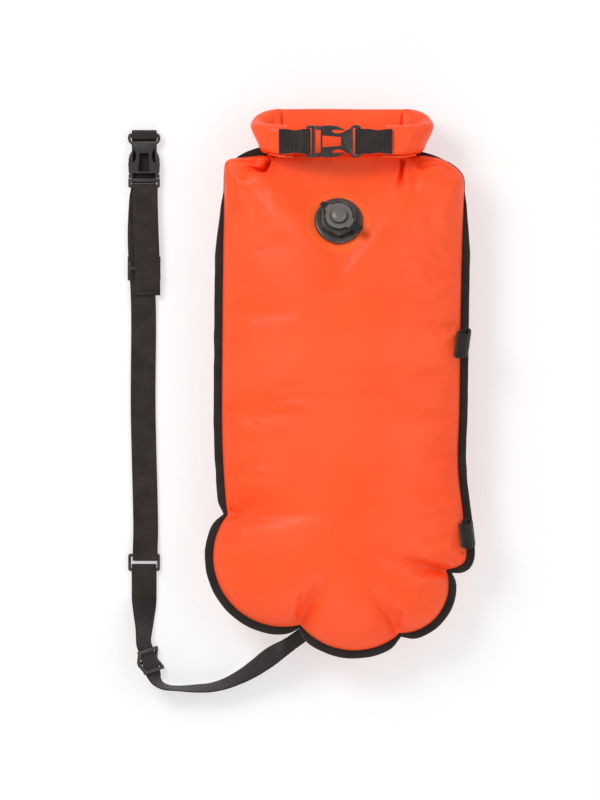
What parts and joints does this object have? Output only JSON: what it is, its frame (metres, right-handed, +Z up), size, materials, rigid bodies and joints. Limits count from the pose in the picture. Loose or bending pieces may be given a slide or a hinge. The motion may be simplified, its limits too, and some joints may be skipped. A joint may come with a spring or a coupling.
{
  "type": "swim buoy",
  "caption": "Inflated orange open water swim buoy dry bag with rolled mouth and buckle, air valve, gear loops, waist belt with buckle and adjuster, and a leash",
  "frame": {"origin": "on the floor, on the flattened middle of the bag's back, which the buoy lies on", "axes": "+X across the bag towards its gear loops, +Y from the foot towards the rolled mouth, +Z up, away from the floor and out of the valve's side"},
  "size_m": [0.351, 0.5856, 0.1047],
  "materials": {
    "orange_skin": "semi-gloss coated fabric",
    "webbing": "matt woven",
    "buckle_plastic": "moulded satin",
    "valve_plastic": "moulded satin",
    "valve_soft": "matt",
    "stiffener_plastic": "matt"
  },
  "bodies": {
    "bag": {"front_skin": "orange_skin", "back_skin": "orange_skin", "divider_skin": "orange_skin", "edge_binding": "webbing", "rolled_mouth": "orange_skin", "mouth_stiffener": "stiffener_plastic", "roll_webbing_left": "webbing", "roll_webbing_right": "webbing", "roll_buckle_socket": "buckle_plastic", "valve_weld_flange": "orange_skin", "valve_base": "valve_plastic", "valve_seal": "valve_soft", "gear_loop_upper": "webbing", "gear_loop_lower": "webbing", "leash_anchor_tab": "webbing", "leash_strap": "webbing", "leash_end_loop": "webbing", "belt_ring": "buckle_plastic", "belt_strap": "webbing", "belt_end_loop": "webbing", "belt_buckle_socket": "buckle_plastic"},
    "roll_plug": {"roll_buckle_plug": "buckle_plastic"},
    "roll_arm_upper": {"roll_plug_arm_upper": "buckle_plastic"},
    "roll_arm_lower": {"roll_plug_arm_lower": "buckle_plastic"},
    "belt_plug": {"belt_buckle_plug": "buckle_plastic"},
    "belt_arm_left": {"belt_plug_arm_left": "buckle_plastic"},
    "belt_arm_right": {"belt_plug_arm_right": "buckle_plastic"},
    "adjuster": {"belt_adjuster": "buckle_plastic"},
    "slider": {"leash_slider": "buckle_plastic"},
    "tether": {"valve_tether": "valve_soft"},
    "valve_turner": {"valve_body": "valve_plastic"},
    "stopper": {"valve_cap": "valve_plastic"},
    "flap": {"valve_flap": "valve_soft"}
  },
  "joints": [
    {"name": "roll_buckle_release", "type": "slide", "parent": "bag", "child": "roll_plug", "axis": [-1, 0, 0], "range_m": [0, 0.026], "deforming": ["roll_webbing_left", "roll_plug_arm_upper", "roll_plug_arm_lower"]},
    {"name": "roll_arm_upper_squeeze", "type": "hinge", "parent": "roll_plug", "child": "roll_arm_upper", "pos_m": [-0.0267, 0.2621, 0.0924], "axis": [0, 0, -1], "range_deg": [0, 7], "stiffness_Nm_per_rad": 0.2},
    {"name": "roll_arm_lower_squeeze", "type": "hinge", "parent": "roll_plug", "child": "roll_arm_lower", "pos_m": [-0.0267, 0.2329, 0.0924], "axis": [0, 0, 1], "range_deg": [0, 7], "stiffness_Nm_per_rad": 0.2},
    {"name": "belt_buckle_release", "type": "slide", "parent": "bag", "child": "belt_plug", "axis": [0, -1, 0], "range_m": [0, 0.026], "deforming": ["belt_end_loop", "belt_plug_arm_left", "belt_plug_arm_right"]},
    {"name": "belt_arm_left_squeeze", "type": "hinge", "parent": "belt_plug", "child": "belt_arm_left", "pos_m": [-0.2131, 0.2122, 0.0056], "axis": [0, 0, -1], "range_deg": [0, 7], "stiffness_Nm_per_rad": 0.2},
    {"name": "belt_arm_right_squeeze", "type": "hinge", "parent": "belt_plug", "child": "belt_arm_right", "pos_m": [-0.1839, 0.2122, 0.0056], "axis": [0, 0, 1], "range_deg": [0, 7], "stiffness_Nm_per_rad": 0.2},
    {"name": "belt_adjuster_slide", "type": "slide", "parent": "bag", "child": "adjuster", "axis": [0, 1, 0], "range_m": [0, 0.028]},
    {"name": "leash_slider_slide", "type": "slide", "parent": "bag", "child": "slider", "axis": [-0.299, 0.9542, 0], "range_m": [0, 0.02], "deforming": ["leash_strap"]},
    {"name": "valve_lift", "type": "slide", "parent": "bag", "child": "tether", "axis": [0.0211, 0.344, 0.9387], "range_m": [0, 0.004]},
    {"name": "valve_unscrew", "type": "hinge", "parent": "tether", "child": "valve_turner", "pos_m": [-0.00348, 0.16826, 0.08348], "axis": [0.0211, 0.344, 0.9387], "range_deg": [0, 360]},
    {"name": "valve_cap_pull", "type": "slide", "parent": "valve_turner", "child": "stopper", "axis": [0.0211, 0.344, 0.9387], "range_m": [0, 0.01]},
    {"name": "valve_flap_open", "type": "slide", "parent": "valve_turner", "child": "flap", "axis": [-0.0211, -0.344, -0.9387], "range_m": [0, 0.0015], "stiffness_N_per_m": 30}
  ],
  "couplings": [
    {"joint": "valve_unscrew", "follows": "valve_lift", "rad_per_m": 1570.8}
  ]
}
